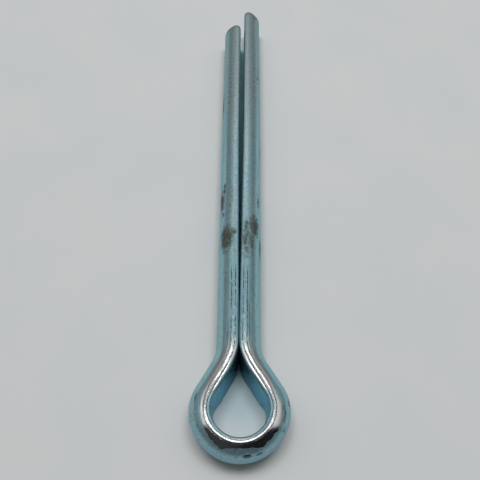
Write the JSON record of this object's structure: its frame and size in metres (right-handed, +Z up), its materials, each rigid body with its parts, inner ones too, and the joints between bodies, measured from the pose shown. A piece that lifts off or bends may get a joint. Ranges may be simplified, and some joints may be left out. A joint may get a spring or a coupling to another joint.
{
  "type": "cotter pin",
  "caption": "Split cotter pin of half-round wire with a teardrop eye and unequal legs that close into a round shank, for locking a nut or clevis pin through a drilled hole.",
  "frame": {"origin": "centre of the underside of the pin's bounding box as it lies flat on its wire's edges", "axes": "+Y along the legs from the eye to the cut ends, +Z up out of the flat side that the pin lies on, +X towards the longer leg"},
  "size_m": [0.0128, 0.08, 0.0056],
  "materials": {
    "zinc_plate": "bright blue-passivated zinc plate on steel wire, semi-gloss, with small worn grey-brown patches on the legs"
  },
  "bodies": {
    "root": {"cotter_pin": "zinc_plate"}
  },
  "joints": []
}
